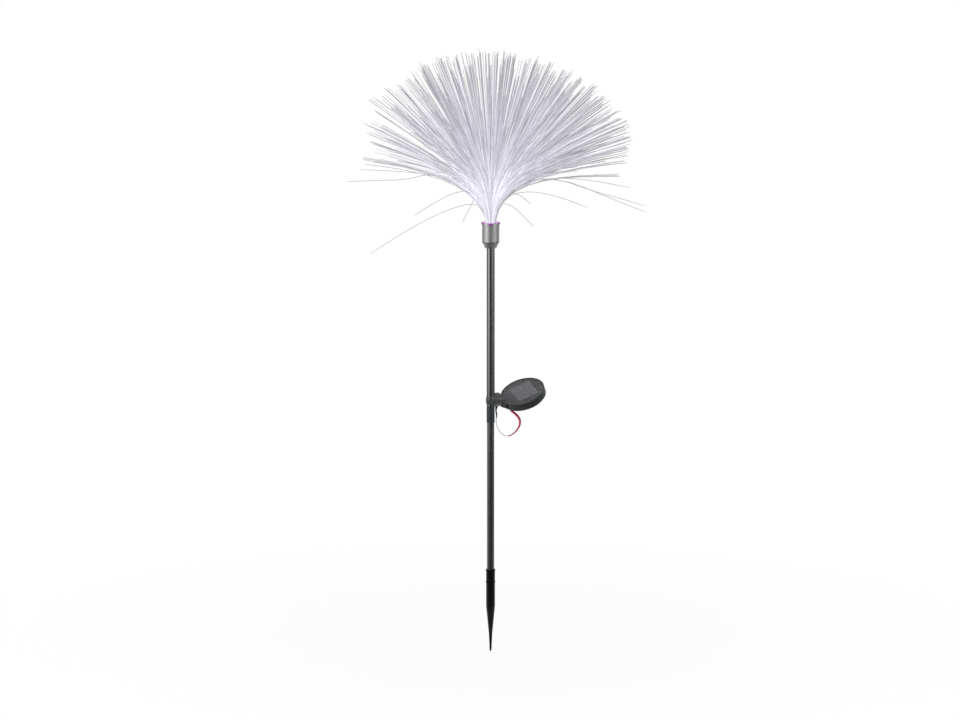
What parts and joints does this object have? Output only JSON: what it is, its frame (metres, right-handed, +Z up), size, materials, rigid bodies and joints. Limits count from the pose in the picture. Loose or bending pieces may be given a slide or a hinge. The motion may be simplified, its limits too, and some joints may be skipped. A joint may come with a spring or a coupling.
{
  "type": "landscape light",
  "caption": "Solar garden light: a plume of optical fibres in a steel cup on a tube pole with a ground spike, and a round solar panel on a swivelling, tilting bracket with a wire loop",
  "frame": {"origin": "on the pole axis at the soil line, where the stop ring of the spike meets its straight shank", "axes": "+Z up along the pole, +X to the right in the picture, +Y away from the camera"},
  "size_m": [0.4088, 0.41, 0.8064],
  "materials": {
    "spike": "moulded black plastic, slightly glossy",
    "pole": "gunmetal lacquer on steel tube",
    "coupler": "slate plastic",
    "lead": "red insulation",
    "cone": "dark grey lacquer",
    "seal": "black rubber",
    "cup": "satin steel",
    "circuit": "green circuit board",
    "lens": "clear cast resin",
    "reflector": "white plastic",
    "ferrule": "black plastic",
    "glow": "clear ring lit purple",
    "fibre": "clear polymer fibres",
    "bracket": "dark grey plastic",
    "fastener": "plated steel",
    "boot": "black rubber",
    "wire": "grey wire in a red sleeve",
    "case": "dark grey plastic",
    "tray": "grey plastic",
    "cell": "grey silicon under resin",
    "window": "clear cast resin",
    "holder": "natural plastic",
    "battery": "plain metal can",
    "button": "grey rubberised plastic"
  },
  "bodies": {
    "stand": {"ground_spike": "spike", "lower_tube": "pole", "tube_coupler": "coupler", "upper_tube": "pole", "lamp_lead": "lead", "cone_adapter": "cone", "cup_seal": "seal", "lamp_cup": "cup", "lamp_board": "circuit", "led_emitter": "lens", "led_reflector": "reflector", "fibre_ferrule": "ferrule", "glow_ring": "glow", "fibre_plume": "fibre"},
    "bracket": {"pole_clip": "bracket"},
    "neck": {"neck_yoke": "bracket", "hinge_screw": "fastener", "hinge_nut": "fastener", "wire_boot": "boot", "solar_lead": "wire"},
    "panel": {"panel_base": "case", "panel_gasket": "seal", "panel_bezel": "case", "cell_tray": "tray", "solar_cell": "cell", "cell_window": "window", "housing_screws": "fastener", "control_board": "circuit", "battery_holder": "holder", "battery_cell": "battery", "switch_body": "ferrule", "panel_gland": "boot"},
    "button": {"power_button": "button"}
  },
  "joints": [
    {"name": "bracket_swivel", "type": "hinge", "parent": "stand", "child": "bracket", "pos_m": [0, 0, 0.2464], "axis": [0, 0, 1], "range_deg": [-90, 90]},
    {"name": "neck_roll", "type": "hinge", "parent": "bracket", "child": "neck", "pos_m": [0, 0, 0.2464], "axis": [0.8241, 0.5664, 0], "range_deg": [-60, 60]},
    {"name": "panel_tilt", "type": "hinge", "parent": "neck", "child": "panel", "pos_m": [0.01352, 0.01079, 0.24032], "axis": [0.555, -0.8076, -0.1994], "range_deg": [-30, 65], "deforming": ["solar_lead"]},
    {"name": "button_press", "type": "slide", "parent": "panel", "child": "button", "axis": [-0.2598, -0.396, 0.8808], "range_m": [0, 0.001], "stiffness_N_per_m": 600}
  ]
}
